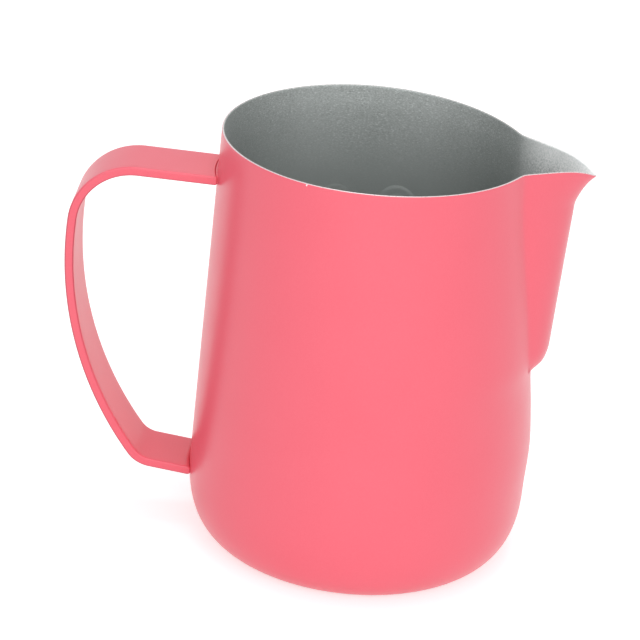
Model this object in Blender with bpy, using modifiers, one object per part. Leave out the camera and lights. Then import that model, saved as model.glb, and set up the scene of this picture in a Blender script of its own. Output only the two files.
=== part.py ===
"""Milk frothing pitcher of about 0.6 litre: a drawn steel shell, a pressed spout and a welded strap handle.

The base stands on the plane z = 0 with its centre at the origin, the spout points along +X and the handle
along -X. All sizes are in metres.
"""

import math

import bmesh
import bpy
from mathutils import Vector

# Plain body: a cone that widens downwards to the belly, then a rounded corner to a flat base.
RIM_HEIGHT = 0.110
RIM_RADIUS = 0.0412
BELLY_RADIUS = 0.0438
BELLY_HEIGHT = 0.0187
BASE_RADIUS = 0.0314
CORNER_FULLNESS = 2.42
WALL = 0.0008

# Spout: a wedge pressed out of the wall. Depths are below the rim, reaches are beyond the plain wall. The
# flank powers shape its plan: just above one is a sharp V, as at the rim, and a higher one is a blunt nose.
SPOUT_DEPTH = 0.0574
NOSE_HEIGHT = 0.0087
NOSE_CURVE = 1.4
RIDGE_LOW_REACH = 0.00315
RIDGE_HIGH_REACH = 0.00635
LIP_DEPTH = 0.0102
LIP_CURVE = 1.12
TIP_REACH = 0.0111
FLANK_RIM = 1.36
FLANK_FOOT = 4.0
MOUTH_HALF_WIDTH = 0.0146
MOUTH_TAPER = 0.04
FOOT_CLOSE = 0.8
FOOT_ROUNDING = 0.0012

# The pressing draws the wall in at both sides of the mouth, and the rim's edge falls towards the tip.
MOUTH_PINCH = 0.0045
PINCH_ANGLE = math.radians(125.0)
DIP_START = -0.0103
RIM_DIP = 0.00184
LIP_DROP = 0.0029
DROP_CURVE = 4.8

# Strap handle: a flat strip on tangent runs and arcs, from the upper joint round to the lower one.
STRAP_WIDTH = 0.0164
STRAP_THICKNESS = 0.0024
STRAP_EDGE = 0.0004
UPPER_JOINT_DEPTH = 0.0127
UPPER_RUN = 0.01925
UPPER_RISE = math.radians(1.4)
SHOULDER_RADIUS = 0.0156
SHOULDER_LEAN = math.radians(5.0)
GRIP_LEAN = math.radians(36.9)
HEEL_RADIUS = 0.0072
LOWER_FALL = math.radians(6.7)
LOWER_JOINT_HEIGHT = 0.0165

# Weld seams: a thin layer between each saddle-cut strap end and the wall, set in from the strap's faces.
FIT_GAP = 0.0003
WELD_THROAT = 0.0006
WELD_INSET = 0.0003
TRIM_ALLOWANCE = 0.004

# Facets.
BACK_COLUMNS = 48
SPOUT_COLUMNS = 24
CORNER_ROWS = 7
WALL_ROWS = 2
NOSE_ROWS = 4
SPOUT_ROWS = 6
LIP_ROWS = 6
ARC_STEP = math.radians(7.5)
TURNED_STEPS = 120

CORAL = (0.956, 0.190, 0.242, 1.0)
WELD_CORAL = (0.720, 0.110, 0.150, 1.0)


def clear_scene():
    """Remove every object that the scene starts with."""
    for old in list(bpy.data.objects):
        bpy.data.objects.remove(old, do_unlink=True)


def new_collection(name):
    """A collection of this name, linked to the scene."""
    collection = bpy.data.collections.new(name)
    bpy.context.scene.collection.children.link(collection)
    return collection


def new_object(name, data, collection, colour, roughness):
    """An object of this mesh, in its collection, with its own coated-metal material."""
    obj = bpy.data.objects.new(name, data)
    collection.objects.link(obj)
    material = bpy.data.materials.new(name + "_coat")
    material.use_nodes = True
    shader = material.node_tree.nodes["Principled BSDF"]
    shader.inputs["Base Color"].default_value = colour
    shader.inputs["Roughness"].default_value = roughness
    shader.inputs["Metallic"].default_value = 0.0
    obj.data.materials.append(material)
    return obj


def smooth_step(share):
    """Rise from 0 to 1 with level ends."""
    share = min(max(share, 0.0), 1.0)
    return share * share * (3.0 - 2.0 * share)


def wall_radius(height):
    """Outer radius of the plain body, on the cone and round the base corner."""
    if height >= BELLY_HEIGHT:
        share = (RIM_HEIGHT - height) / (RIM_HEIGHT - BELLY_HEIGHT)
        return RIM_RADIUS + (BELLY_RADIUS - RIM_RADIUS) * share
    down = (BELLY_HEIGHT - height) / BELLY_HEIGHT
    out = (1.0 - down**CORNER_FULLNESS) ** (1.0 / CORNER_FULLNESS)
    return BASE_RADIUS + (BELLY_RADIUS - BASE_RADIUS) * out


def spout_share(height):
    """0 at and below the foot of the spout, 1 at the rim."""
    return max(1.0 - (RIM_HEIGHT - height) / SPOUT_DEPTH, 0.0)


def under_nose(height):
    """0 above the spout's nose, 1 at its foot."""
    nose_top = RIM_HEIGHT - SPOUT_DEPTH + NOSE_HEIGHT
    return min(max((nose_top - height) / NOSE_HEIGHT, 0.0), 1.0)


def ridge_reach(height):
    """How far the spout's ridge stands out from the plain wall: a nose, a straight run, then the lip."""
    nose_top = RIM_HEIGHT - SPOUT_DEPTH + NOSE_HEIGHT
    lip_start = RIM_HEIGHT - LIP_DEPTH
    if height < nose_top:
        return RIDGE_LOW_REACH * (1.0 - under_nose(height) ** NOSE_CURVE)
    if height < lip_start:
        rise = (height - nose_top) / (lip_start - nose_top)
        return RIDGE_LOW_REACH + (RIDGE_HIGH_REACH - RIDGE_LOW_REACH) * rise
    flare = ((height - lip_start) / LIP_DEPTH) ** LIP_CURVE
    return RIDGE_HIGH_REACH + (TIP_REACH - RIDGE_HIGH_REACH) * flare


def pinch(height):
    """How far the wall beside the spout is drawn in from the plain wall."""
    return MOUTH_PINCH * smooth_step(spout_share(height))


def crease_half_width(height):
    """Half the width between the two creases, which stay nearly parallel and close at the spout's foot."""
    least = FOOT_ROUNDING / SPOUT_DEPTH
    closing = math.sqrt(1.0 - FOOT_CLOSE * under_nose(height) ** 2)
    return MOUTH_HALF_WIDTH * max(spout_share(height), least) ** MOUTH_TAPER * closing


def flank(height):
    """One side of the spout from the ridge to the crease: a power curve, or the plain wall below the foot."""
    radius = wall_radius(height)
    half_width = crease_half_width(height)
    crease_x = math.sqrt((radius - pinch(height)) ** 2 - half_width**2)
    ridge_x = radius + ridge_reach(height)
    power = FLANK_FOOT + (FLANK_RIM - FLANK_FOOT) * spout_share(height)
    points = []
    for i in range(SPOUT_COLUMNS // 2 + 1):
        across = i / (SPOUT_COLUMNS // 2)
        y = half_width * across
        if spout_share(height) > 0.0:
            x = ridge_x - (ridge_x - crease_x) * across**power
        else:
            x = math.sqrt(radius**2 - y**2)
        points.append((x, y))
    return points


def section(height):
    """The shell's outline at this height, from the ridge round the back and up to the ridge again."""
    half = flank(height)
    crease = math.atan2(half[-1][1], half[-1][0])
    for i in range(1, BACK_COLUMNS // 2 + 1):
        angle = crease + (math.pi - crease) * i / (BACK_COLUMNS // 2)
        drawn_in = smooth_step((PINCH_ANGLE - angle) / (PINCH_ANGLE - crease))
        radius = wall_radius(height) - pinch(height) * drawn_in
        half.append((radius * math.cos(angle), radius * math.sin(angle)))
    return half + [(x, -y) for x, y in reversed(half[1:-1])]


def edge_drop(x):
    """How far the rim's edge lies below the rim height at this place along the spout's direction."""
    tip = RIM_RADIUS + TIP_REACH
    mouth = math.sqrt((RIM_RADIUS - MOUTH_PINCH) ** 2 - MOUTH_HALF_WIDTH**2)
    dip = max((x - DIP_START) / (tip - DIP_START), 0.0)
    lip = max((x - mouth) / (tip - mouth), 0.0)
    return RIM_DIP * dip**2 + LIP_DROP * lip**DROP_CURVE


def row_heights():
    """Heights of the sections, from the base up to the rim."""
    foot = RIM_HEIGHT - SPOUT_DEPTH
    rows = []
    for i in range(CORNER_ROWS):
        turn = 0.5 * math.pi * i / CORNER_ROWS
        rows.append(BELLY_HEIGHT * (1.0 - math.cos(turn) ** (2.0 / CORNER_FULLNESS)))
    for i in range(WALL_ROWS):
        rows.append(BELLY_HEIGHT + (foot - BELLY_HEIGHT) * i / WALL_ROWS)
    for i in range(NOSE_ROWS):
        rows.append(foot + NOSE_HEIGHT * i / NOSE_ROWS)
    for i in range(SPOUT_ROWS):
        rows.append(foot + NOSE_HEIGHT + (SPOUT_DEPTH - NOSE_HEIGHT - LIP_DEPTH) * i / SPOUT_ROWS)
    for i in range(LIP_ROWS + 1):
        rows.append(RIM_HEIGHT - LIP_DEPTH + LIP_DEPTH * i / LIP_ROWS)
    return rows


def make_body(collection):
    """The drawn shell: a loft through its sections with one flat face for the base, thickened inwards."""
    bm = bmesh.new()
    loops = []
    for height in row_heights():
        fall = spout_share(height) ** 3
        loops.append([bm.verts.new((x, y, height - fall * edge_drop(x))) for x, y in section(height)])
    for low, high in zip(loops, loops[1:]):
        for i in range(len(low)):
            bm.faces.new((low[i - 1], low[i], high[i], high[i - 1]))
    bm.faces.new(reversed(loops[0]))
    mesh = bpy.data.meshes.new("body_shell")
    bm.to_mesh(mesh)
    bm.free()
    body = new_object("body_shell", mesh, collection, CORAL, 0.35)
    sheet = body.modifiers.new("sheet", "SOLIDIFY")
    sheet.thickness = WALL
    sheet.offset = -1.0
    sheet.use_even_offset = True


def make_turned(name, clearance, collection):
    """A solid of the plain body, grown outwards by this clearance, that cuts or bounds the welded ends."""
    heights = list(reversed(row_heights()))
    profile = [(0.0, heights[0])]
    profile += [(wall_radius(height) + clearance, height) for height in heights]
    profile.append((0.0, heights[-1]))
    mesh = bpy.data.meshes.new(name)
    mesh.from_pydata([(r, 0.0, z) for r, z in profile], [(i, i + 1) for i in range(len(profile) - 1)], [])
    cutter = bpy.data.objects.new(name, mesh)
    collection.objects.link(cutter)
    cutter.hide_render = True
    cutter.display_type = "WIRE"
    turn = cutter.modifiers.new("turn", "SCREW")
    turn.axis = "Z"
    turn.angle = 2.0 * math.pi
    turn.steps = TURNED_STEPS
    turn.render_steps = TURNED_STEPS
    turn.use_merge_vertices = True
    turn.merge_threshold = 1.0e-5
    return cutter


def cut(obj, cutter, operation):
    """An exact Boolean on the object."""
    modifier = obj.modifiers.new(operation.lower(), "BOOLEAN")
    modifier.operation = operation
    modifier.solver = "EXACT"
    modifier.object = cutter


def direction(heading):
    """Unit vector of a heading in the XZ plane."""
    return Vector((math.cos(heading), math.sin(heading)))


def turn_shift(start, end):
    """The way that a left-hand arc of unit radius goes between two headings."""
    return Vector((math.sin(end) - math.sin(start), math.cos(start) - math.cos(end)))


def arc(start, radius, heading, end):
    """Points of a left-hand arc, after its start."""
    steps = max(2, round((end - heading) / ARC_STEP))
    turns = [heading + (end - heading) * i / steps for i in range(1, steps + 1)]
    return [start + radius * turn_shift(heading, turn) for turn in turns]


def joints():
    """The upper and lower points, in the XZ plane, where the strap's centre line meets the wall."""
    upper = RIM_HEIGHT - UPPER_JOINT_DEPTH
    return (
        Vector((-wall_radius(upper), upper)),
        Vector((-wall_radius(LOWER_JOINT_HEIGHT), LOWER_JOINT_HEIGHT)),
    )


def strap_path():
    """Centre line of the strap, with both ends left long by the trim allowance.

    The grip's radius follows from the joints: it is the one that brings the lower run to the lower joint.
    """
    upper, lower = joints()
    out = math.pi - UPPER_RISE
    down = 1.5 * math.pi - SHOULDER_LEAN
    inwards = 1.5 * math.pi + GRIP_LEAN
    back = 2.0 * math.pi - LOWER_FALL
    corner = upper + UPPER_RUN * direction(out)
    shoulder = SHOULDER_RADIUS * turn_shift(out, down)
    grip = turn_shift(down, inwards)
    heel = HEEL_RADIUS * turn_shift(inwards, back)
    short = lower - corner - shoulder - heel
    fall = math.tan(back)
    grip_radius = (short.y - fall * short.x) / (grip.y - fall * grip.x)
    path = [upper - TRIM_ALLOWANCE * direction(out), corner]
    path += arc(path[-1], SHOULDER_RADIUS, out, down)
    path += arc(path[-1], grip_radius, down, inwards)
    path += arc(path[-1], HEEL_RADIUS, inwards, back)
    path.append(lower + TRIM_ALLOWANCE * direction(back))
    return path


def strip_outline(path, half_thickness):
    """The strip's edge outline: the path moved to both sides by half its thickness."""
    outer = []
    inner = []
    for i, point in enumerate(path):
        along = path[min(i + 1, len(path) - 1)] - path[max(i - 1, 0)]
        side = half_thickness * Vector((along.y, -along.x)).normalized()
        outer.append(point + side)
        inner.append(point - side)
    return outer + inner[::-1]


def make_strap(saddle, collection):
    """The handle: its edge outline extruded to the strip's width with rounded edges, then saddle cut."""
    curve = bpy.data.curves.new("strap_outline", "CURVE")
    curve.dimensions = "2D"
    curve.fill_mode = "BOTH"
    curve.extrude = 0.5 * STRAP_WIDTH - STRAP_EDGE
    curve.bevel_depth = STRAP_EDGE
    curve.bevel_resolution = 1
    outline = strip_outline(strap_path(), 0.5 * STRAP_THICKNESS - STRAP_EDGE)
    spline = curve.splines.new("POLY")
    spline.points.add(len(outline) - 1)
    for point, place in zip(spline.points, outline):
        point.co = (place.x, place.y, 0.0, 1.0)
    spline.use_cyclic_u = True
    blank = bpy.data.objects.new("strap_blank", curve)
    collection.objects.link(blank)
    blank.rotation_euler.x = 0.5 * math.pi
    bpy.context.view_layer.update()
    graph = bpy.context.evaluated_depsgraph_get()
    mesh = bpy.data.meshes.new_from_object(blank.evaluated_get(graph))
    bm = bmesh.new()
    bm.from_mesh(mesh)
    bmesh.ops.remove_doubles(bm, verts=bm.verts, dist=1.0e-6)
    bmesh.ops.recalc_face_normals(bm, faces=bm.faces)
    bm.to_mesh(mesh)
    bm.free()
    mesh.name = "handle_strap"
    strap = new_object("handle_strap", mesh, collection, CORAL, 0.35)
    strap.matrix_world = blank.matrix_world
    bpy.data.objects.remove(blank, do_unlink=True)
    cut(strap, saddle, "DIFFERENCE")


def make_weld(name, joint, heading, inner, outer, collection):
    """A weld seam: a short block across the joint, kept only between the two turned solids."""
    bm = bmesh.new()
    bmesh.ops.create_cube(bm, size=1.0)
    length = 2.0 * TRIM_ALLOWANCE
    size = (length, STRAP_WIDTH - 2.0 * WELD_INSET, STRAP_THICKNESS - 2.0 * WELD_INSET)
    bmesh.ops.scale(bm, vec=size, verts=bm.verts)
    mesh = bpy.data.meshes.new(name)
    bm.to_mesh(mesh)
    bm.free()
    weld = new_object(name, mesh, collection, WELD_CORAL, 0.5)
    weld.location = (joint.x, 0.0, joint.y)
    weld.rotation_euler.y = -heading
    cut(weld, outer, "INTERSECT")
    cut(weld, inner, "DIFFERENCE")


def main():
    """Build the pitcher's pieces and the turned solids that shape its welded ends."""
    clear_scene()
    parts = new_collection("milk_pitcher")
    cutters = new_collection("cutters")
    seam_inner = make_turned("seam_inner", FIT_GAP, cutters)
    seam_outer = make_turned("seam_outer", FIT_GAP + WELD_THROAT, cutters)
    saddle = make_turned("strap_saddle", 2.0 * FIT_GAP + WELD_THROAT, cutters)
    upper, lower = joints()
    make_body(parts)
    make_strap(saddle, parts)
    make_weld("upper_weld", upper, -UPPER_RISE, seam_inner, seam_outer, parts)
    make_weld("lower_weld", lower, -LOWER_FALL, seam_inner, seam_outer, parts)


main()
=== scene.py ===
# %% [markdown]
# A milk pitcher in numpy surfaces
#
# The real object is one drawn steel sheet with a pressed spout, a bent strap for a handle and two weld
# seams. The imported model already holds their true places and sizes. This lesson loads it as a fixed
# frame, then lays a finer skin over it, one piece at a time, and gives each skin its finish.

# %% Load the frame
import math

import bpy
import numpy as np
from mathutils import Matrix, Vector


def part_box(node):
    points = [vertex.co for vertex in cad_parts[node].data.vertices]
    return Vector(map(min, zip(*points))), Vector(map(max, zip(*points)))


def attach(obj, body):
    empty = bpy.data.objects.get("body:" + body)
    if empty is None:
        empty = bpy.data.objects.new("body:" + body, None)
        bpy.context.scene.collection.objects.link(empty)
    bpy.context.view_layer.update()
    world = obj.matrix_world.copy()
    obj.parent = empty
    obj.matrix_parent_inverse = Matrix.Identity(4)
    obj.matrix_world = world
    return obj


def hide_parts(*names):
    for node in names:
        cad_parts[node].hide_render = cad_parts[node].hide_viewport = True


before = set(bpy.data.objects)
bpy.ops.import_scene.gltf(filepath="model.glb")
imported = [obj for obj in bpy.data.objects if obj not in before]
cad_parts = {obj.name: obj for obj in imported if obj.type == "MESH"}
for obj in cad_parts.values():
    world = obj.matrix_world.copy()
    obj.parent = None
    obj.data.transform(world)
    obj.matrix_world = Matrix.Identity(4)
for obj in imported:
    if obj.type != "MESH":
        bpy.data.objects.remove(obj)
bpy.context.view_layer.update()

MM = 0.001

# %% [markdown]
# The plain body
#
# Without its spout the pitcher is a turned shape: a wall that widens a little downwards, then a full
# rounded corner into a flat base. A profile spun round the axis would do, but the spout has to grow out
# of the same sheet. So the radius is written as a formula of the height, ready to be changed by angle.
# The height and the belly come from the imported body, the other sizes are the ones it was built with.

# %% Sizes of the plain body
_, body_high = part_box("body_shell")
RIM_HEIGHT = body_high.z
BELLY_RADIUS = body_high.y
RIM_RADIUS = 41.2 * MM
BELLY_HEIGHT = 18.7 * MM
BASE_RADIUS = 31.4 * MM
CORNER_FULLNESS = 2.42
WALL = 0.8 * MM
RIM_WALL = 0.60 * MM


def wall_radius(height):
    """Radius of the plain wall: a straight cone above the belly, a superellipse corner below it."""
    share = (RIM_HEIGHT - height) / (RIM_HEIGHT - BELLY_HEIGHT)
    cone = RIM_RADIUS + (BELLY_RADIUS - RIM_RADIUS) * share
    down = np.clip((BELLY_HEIGHT - height) / BELLY_HEIGHT, 0.0, 1.0)
    out = (1.0 - down**CORNER_FULLNESS) ** (1.0 / CORNER_FULLNESS)
    corner = BASE_RADIUS + (BELLY_RADIUS - BASE_RADIUS) * out
    return np.where(height >= BELLY_HEIGHT, cone, corner)


print("belly radius, mm:", round(BELLY_RADIUS / MM, 2), "rim height, mm:", round(RIM_HEIGHT / MM, 2))

# %% [markdown]
# The spout
#
# A press pushes a wedge out of the wall. Seen from above, each flank is a power curve: the ridge less the
# wedge's depth times a power of the way across. A power a little above one makes the sharp V at the rim, and
# a higher one the blunt, flat-nosed foot, so one formula serves all the way up. Seen from the side the
# ridge is a soft foot, a long straight run and a lip that flares out at the top. The metal for it comes
# from the wall on both sides, so the mouth is drawn in there and the rim is egg-shaped, not round.

# %% Ridge, creases and drawn-in wall
SPOUT_DEPTH = 57.4 * MM
NOSE_HEIGHT = 8.7 * MM
NOSE_CURVE = 1.4
RIDGE_LOW_REACH = 3.15 * MM
RIDGE_HIGH_REACH = 6.3 * MM
LIP_DEPTH = 10.9 * MM
LIP_CURVE = 1.25
TIP_REACH = body_high.x - RIM_RADIUS
FLANK_RIM = 1.36
FLANK_FOOT = 4.0
MOUTH_HALF_WIDTH = 14.6 * MM
MOUTH_TAPER = 0.04
MOUTH_PINCH = 4.5 * MM
PINCH_ANGLE = math.radians(125.0)
FOOT_CLOSE = 0.8
CREASE_FILLET = 0.75 * MM
FOOT_SOFTNESS = 0.5
CREASE_PLUNGE = 30.0 * MM
FRONT_ANGLE = math.radians(70.0)
FOOT_DENT = 0.8 * MM
DENT_DEPTH = 11.4 * MM
FRONT_SWELL = 0.72 * MM
SWELL_HEIGHT = 31.3 * MM
SWELL_SPAN = 14.0 * MM
LEAST_SHARE = 1.0e-4


def smooth_step(share):
    """Rise from 0 to 1 with level ends: three squares less two cubes."""
    share = np.clip(share, 0.0, 1.0)
    return share * share * (3.0 - 2.0 * share)


def spout_share(height):
    """0 at and below the foot of the spout, 1 at the rim."""
    return np.clip(1.0 - (RIM_HEIGHT - height) / SPOUT_DEPTH, 0.0, 1.0)


def under_nose(height):
    """0 above the spout's nose, 1 at and below its foot."""
    return np.clip((RIM_HEIGHT - SPOUT_DEPTH + NOSE_HEIGHT - height) / NOSE_HEIGHT, 0.0, 1.0)


def ridge_reach(height):
    """How far the ridge stands out from the plain wall: a power-law foot, a straight run, a power-law lip."""
    nose_top = RIM_HEIGHT - SPOUT_DEPTH + NOSE_HEIGHT
    lip_start = RIM_HEIGHT - LIP_DEPTH
    rise = np.clip((height - nose_top) / (lip_start - nose_top), 0.0, 1.0)
    flare = np.clip((height - lip_start) / LIP_DEPTH, 0.0, 1.0) ** LIP_CURVE
    run = RIDGE_LOW_REACH + (RIDGE_HIGH_REACH - RIDGE_LOW_REACH) * rise
    return run * (1.0 - under_nose(height) ** NOSE_CURVE) + (TIP_REACH - RIDGE_HIGH_REACH) * flare


def crease_place(height):
    """Half width between the creases, and their radius: nearly parallel lines that close round the foot."""
    share = np.maximum(spout_share(height), LEAST_SHARE)
    half_width = MOUTH_HALF_WIDTH * share**MOUTH_TAPER * np.sqrt(1.0 - FOOT_CLOSE * under_nose(height) ** 2)
    return half_width, wall_radius(height) - MOUTH_PINCH * smooth_step(share)


def front_swell(angle, height):
    """What the press leaves below the spout at the front: a dent under its foot, a soft swell below that."""
    foot = RIM_HEIGHT - SPOUT_DEPTH
    fade = smooth_step(1.0 - np.abs(angle) / FRONT_ANGLE)
    dent = smooth_step((height - foot + DENT_DEPTH) / DENT_DEPTH)
    dent = dent * smooth_step((foot + NOSE_HEIGHT - height) / NOSE_HEIGHT)
    swell = smooth_step(1.0 - np.abs(height - SWELL_HEIGHT) / SWELL_SPAN)
    return (FRONT_SWELL * swell - FOOT_DENT * dent) * fade


def drawn_in_radius(angle, height):
    """Radius of the wall beside the spout: the plain wall less a pinch that fades with angle and depth."""
    half_width, crease_radius = crease_place(height)
    crease = np.arcsin(half_width / crease_radius)
    fade = smooth_step((PINCH_ANGLE - np.abs(angle)) / (PINCH_ANGLE - crease))
    return wall_radius(height) - (wall_radius(height) - crease_radius) * fade + front_swell(angle, height)


ridge_heights = np.linspace(RIM_HEIGHT - SPOUT_DEPTH, RIM_HEIGHT, 6)
print("ridge stands out, mm:", np.round(ridge_reach(ridge_heights) / MM, 2).tolist())

# %% [markdown]
# One radius for the whole skin
#
# The wedge and the wall are both given as a radius at an angle and a height, so the skin is simply the
# larger of the two. A hard maximum would leave a knife line where they meet. The real sheet bends round a
# small fillet, and a smooth maximum gives that: the mean of the two plus half the root of their squared
# difference and the squared fillet.

# %% The skin as a function of angle and height
NEWTON_STEPS = 30
FORWARD_LEAST = 0.05
FILLET_START = 0.6


def wedge_radius(angle, height):
    """Radius of the wedge along a ray. Its flank in plan is the ridge less depth times a power of the share
    across, and Newton's method, all points at once, finds where the ray meets that curve."""
    half_width, crease_radius = crease_place(height)
    crease_x = np.sqrt(crease_radius**2 - half_width**2)
    ridge_x = wall_radius(height) + ridge_reach(height)
    depth = ridge_x - crease_x
    power = FLANK_FOOT + (FLANK_RIM - FLANK_FOOT) * spout_share(height)
    across = np.cos(angle)
    aside = np.abs(np.sin(angle))
    radius = ridge_x / across
    for _ in range(NEWTON_STEPS):
        share = radius * aside / half_width
        miss = radius * across + depth * share**power - ridge_x
        slope = across + depth * power * share ** (power - 1.0) * aside / half_width
        radius = radius - miss / slope
    return radius


def skin_radius(angle, height):
    """Outer radius of the sheet: a smooth maximum of the drawn-in wall and the spout's wedge."""
    wall = drawn_in_radius(angle, height)
    ahead = np.cos(angle) > FORWARD_LEAST
    wedge = np.where(ahead, wedge_radius(np.where(ahead, angle, 0.0), height), 0.0)
    half_width, crease_radius = crease_place(height)
    past_crease = np.maximum(np.abs(angle) - np.arcsin(half_width / crease_radius), 0.0)
    wedge = np.where(past_crease > 0.0, np.minimum(wedge, wall - CREASE_PLUNGE * past_crease), wedge)
    present = smooth_step(spout_share(height) * SPOUT_DEPTH / (FILLET_START * NOSE_HEIGHT))
    fillet = CREASE_FILLET * present * (1.0 + FOOT_SOFTNESS * under_nose(height))
    joined = 0.5 * (wall + wedge + np.sqrt((wall - wedge) ** 2 + fillet**2))
    return wall + (joined - wall) * present


looked_at = np.radians([0.0, 24.0, 90.0, 180.0])
print("mouth at the rim, mm:", np.round(skin_radius(looked_at, RIM_HEIGHT) / MM, 2))

# %% [markdown]
# A grid over the sheet
#
# Columns go round the body and rows go up it. The columns lie closer together about the spout, where
# the sheet bends most, and the rows lie closer in the base corner and at the lip. The rim's edge also dips
# towards the tip, so each row is sunk a little more the nearer it is to the rim.

# %% Columns, rows and the outer skin
COLUMNS = 352
CORNER_ROWS = 22
WALL_ROWS = 13
SPOUT_ROWS = 76
SPOUT_CROWDING = 0.72
DIP_START = -10.3 * MM
RIM_DIP = 1.84 * MM
LIP_DROP = 2.9 * MM
DROP_CURVE = 4.8
DIP_FADE = 3
turn = np.linspace(-np.pi, np.pi, COLUMNS, endpoint=False)
ANGLES = turn - SPOUT_CROWDING * np.sin(turn)


def edge_drop(x):
    """How far the rim's edge falls towards the spout: a square for the rim, a higher power for the lip."""
    tip = RIM_RADIUS + TIP_REACH
    mouth = math.sqrt((RIM_RADIUS - MOUTH_PINCH) ** 2 - MOUTH_HALF_WIDTH**2)
    dip = np.clip((x - DIP_START) / (tip - DIP_START), 0.0, None)
    lip = np.clip((x - mouth) / (tip - mouth), 0.0, None)
    return RIM_DIP * dip**2 + LIP_DROP * lip**DROP_CURVE


def skin_points(heights):
    """Outer skin on the grid: the radius turned to x and y, and the rows sunk towards the tip."""
    height = heights[:, None]
    radius = skin_radius(ANGLES[None, :], height)
    x = radius * np.cos(ANGLES)
    y = radius * np.sin(ANGLES)
    z = height - spout_share(height) ** DIP_FADE * edge_drop(x)
    return np.stack([x, y, z], -1)


corner_turn = np.linspace(0.0, 0.5 * np.pi, CORNER_ROWS + 1)[:-1]
corner_rows = BELLY_HEIGHT * (1.0 - np.cos(corner_turn) ** (2.0 / CORNER_FULLNESS))
foot = RIM_HEIGHT - SPOUT_DEPTH
wall_rows = np.linspace(BELLY_HEIGHT, foot, WALL_ROWS + 1)[:-1]
spout_rows = np.linspace(foot, RIM_HEIGHT - 0.5 * RIM_WALL, SPOUT_ROWS)
HEIGHTS = np.concatenate([corner_rows, wall_rows, spout_rows])
outer = skin_points(HEIGHTS)
print("outer skin:", outer.shape, "reaches x =", round(outer[..., 0].max() / MM, 2), "mm")

# %% [markdown]
# Through the sheet
#
# The inner skin is the outer one moved inwards along its normal, by the thickness of the sheet. The
# normals are the cross product of the two directions of the grid. At the rim the sheet was ground to a fine
# edge and rounded, so it thins there, and a half circle carries the outer edge over to the inner one.

# %% Normals, inner skin and rim
def grid_normals(points):
    """Unit normals of a grid that closes round its columns: the cross product of its two directions."""
    around = np.roll(points, -1, 1) - np.roll(points, 1, 1)
    upwards = np.gradient(points, axis=0)
    normal = np.cross(around, upwards)
    return normal / np.linalg.norm(normal, axis=-1, keepdims=True)


LIP_ROWS = 9
RIM_TAPER = 7.0 * MM
normals = grid_normals(outer)
thinning = smooth_step((RIM_HEIGHT - HEIGHTS) / RIM_TAPER)[:, None, None]
inner = outer - (RIM_WALL + (WALL - RIM_WALL) * thinning) * normals
lip_out = normals[-1]
lip_up = outer[-1] - outer[-2]
lip_up = lip_up / np.linalg.norm(lip_up, axis=-1, keepdims=True)
lip_turn = np.linspace(0.0, np.pi, LIP_ROWS + 2)[1:-1, None, None]
lip_centre = outer[-1] - 0.5 * RIM_WALL * lip_out
lip = lip_centre + 0.5 * RIM_WALL * (np.cos(lip_turn) * lip_out + np.sin(lip_turn) * lip_up)
print("rim rows:", lip.shape[0], "highest point, mm:", round(lip[..., 2].max() / MM, 3))

# %% [markdown]
# The base
#
# The flat base closes the grid at both ends. Underneath, the middle is pressed up a little, so that the
# pitcher stands on a ring and doesn't rock. Each base row is the lowest wall row pulled in
# towards the axis, and the last one shrinks to a single point.

# %% Base rows
BASE_ROWS = 9
BASE_DISH = 0.45 * MM
DISH_EDGE = 26.0 * MM
DISH_SLOPE = 0.25


def base_points(edge, level):
    """Base rows from the edge inwards: the edge scaled towards the axis, raised by a smooth dish."""
    share = np.linspace(1.0, 0.0, BASE_ROWS + 1)[1:-1, None]
    xy = edge[None, :, :2] * share[..., None]
    radius = np.hypot(xy[..., 0], xy[..., 1])
    z = level + BASE_DISH * smooth_step((DISH_EDGE - radius) / (DISH_SLOPE * DISH_EDGE))
    return np.concatenate([xy, z[..., None]], -1)


under_base = base_points(outer[0], 0.0)[::-1]
floor_edge = inner[0].copy()
floor_edge[:, :2] *= (BASE_RADIUS - WALL) / BASE_RADIUS
inner_floor = base_points(floor_edge, WALL)
inner[0] = floor_edge
inner[0, :, 2] = WALL
print("base rows:", len(under_base), "outside and", len(inner_floor), "inside")

# %% [markdown]
# From grid to mesh
#
# All rows in order make one sheet, from the middle of the underside, up the outside, over the rim and down
# the inside to the middle of the floor. One function turns such a grid into a mesh: quads between the
# rows, and a fan of triangles at each pole. Every face takes a material number from its row.

# %% Mesh helpers
def grid_faces(rows, columns):
    """Quads between neighbouring rows of a grid that closes round its columns, four indices each."""
    low = np.arange(rows - 1)[:, None] * columns
    here = np.arange(columns)[None, :]
    there = (here + 1) % columns
    quad = [low + here, low + there, low + columns + there, low + columns + here]
    return np.stack(np.broadcast_arrays(*quad), -1).reshape(-1, 4)


def pole_faces(first, columns, pole, reverse):
    """Triangles from one row to its pole."""
    here = first + np.arange(columns)
    there = first + (np.arange(columns) + 1) % columns
    tip = np.full(columns, pole)
    order = [there, here, tip] if reverse else [here, there, tip]
    return np.stack(order, -1)


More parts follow.
